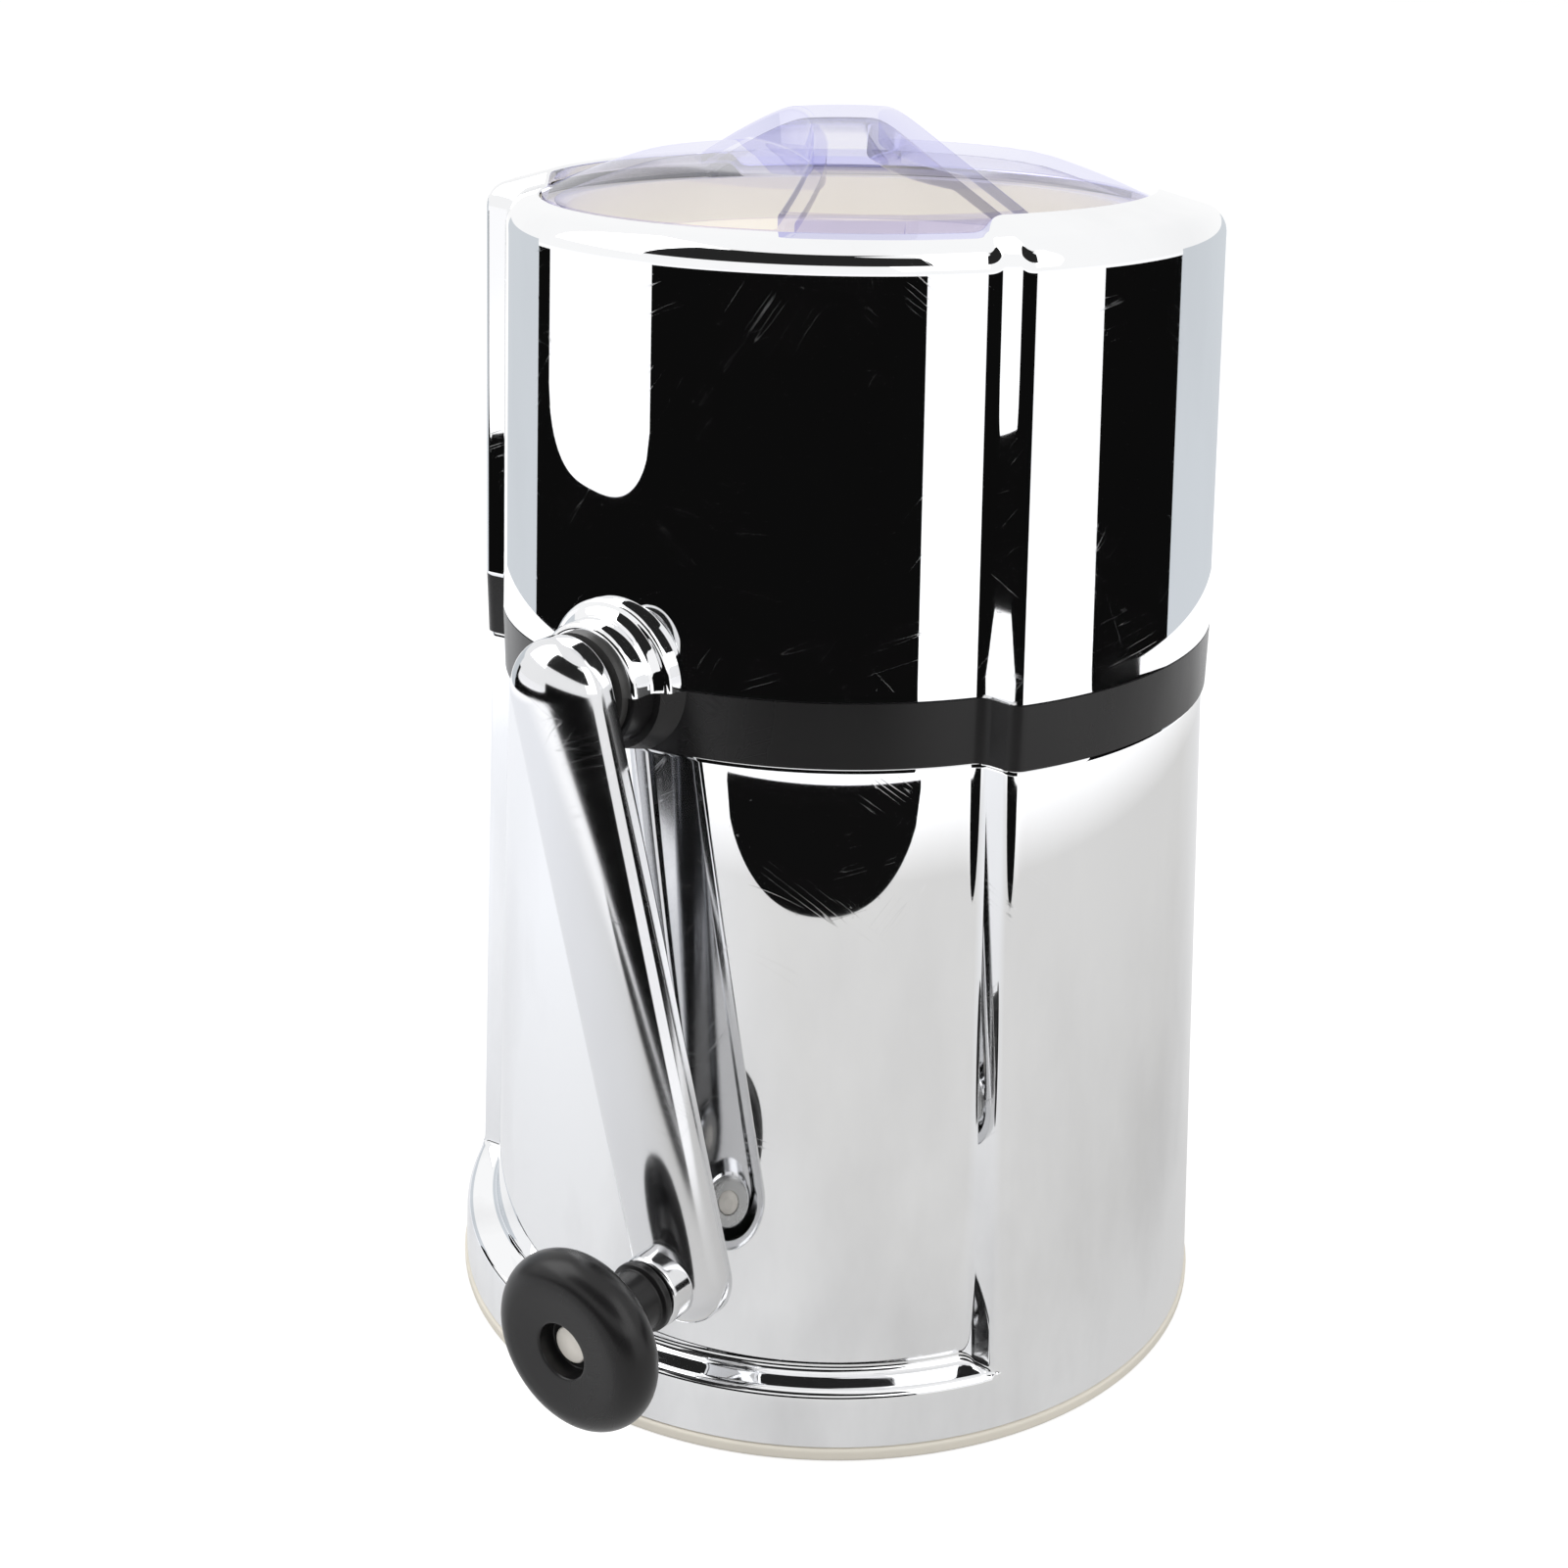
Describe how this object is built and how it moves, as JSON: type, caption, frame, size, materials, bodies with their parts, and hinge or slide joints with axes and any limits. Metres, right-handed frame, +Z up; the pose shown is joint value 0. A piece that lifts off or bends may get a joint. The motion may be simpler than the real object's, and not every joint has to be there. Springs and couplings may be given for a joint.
{
  "type": "hand crank ice crusher",
  "caption": "Free-standing ice crusher: a fluted chrome bin and head with a black collar, clear domed lid, side crank with a round knob, and a toothed rotor inside.",
  "frame": {"origin": "centre of the face the crusher stands on, on the axis of its round body", "axes": "+Z up the body; -Y towards the crank; +X to the right seen from the crank side"},
  "size_m": [0.1528, 0.1843, 0.2312],
  "materials": {
    "chrome": "polished chrome plate with fine wiping scratches",
    "black_plastic": "satin black moulding",
    "cream_rubber": "soft cream pad",
    "cream_plastic": "smooth cream moulding",
    "clear_plastic": "clear moulded plastic with a faint violet tint",
    "steel": "turned and stamped steel",
    "zinc_frame": "plain die casting",
    "bearing_nylon": "dark bearing plastic"
  },
  "bodies": {
    "bin": {"base_pad": "cream_rubber", "base_plate": "cream_plastic", "base_screws": "steel", "bin_shell": "chrome", "ice_cup": "cream_plastic"},
    "head": {"collar": "black_plastic", "upper_shell": "chrome", "housing_screws": "steel", "crusher_frame": "zinc_frame", "frame_screws": "steel", "comb_right": "steel", "comb_left": "steel", "comb_screws": "steel", "front_bush": "bearing_nylon", "rear_bush": "bearing_nylon", "hopper": "cream_plastic"},
    "lid": {"lid": "clear_plastic"},
    "crank": {"crank_shaft": "steel", "rotor_blades": "steel", "rotor_spacers": "steel", "retaining_ring": "steel", "thrust_washer": "bearing_nylon", "crank_arm": "chrome", "knob_pin": "steel", "pin_washer": "steel"},
    "knob": {"knob": "black_plastic"}
  },
  "joints": [
    {"name": "head_lift", "type": "slide", "parent": "bin", "child": "head", "axis": [0, 0, 1], "range_m": [0, 0.12]},
    {"name": "lid_lift", "type": "slide", "parent": "head", "child": "lid", "axis": [0, 0, 1], "range_m": [0, 0.06]},
    {"name": "crank_turn", "type": "hinge", "parent": "head", "child": "crank", "pos_m": [0, 0, 0.1417], "axis": [0, -1, 0], "continuous": true},
    {"name": "knob_turn", "type": "hinge", "parent": "crank", "child": "knob", "pos_m": [0.02551, 0, 0.04088], "axis": [0, -1, 0], "continuous": true}
  ]
}
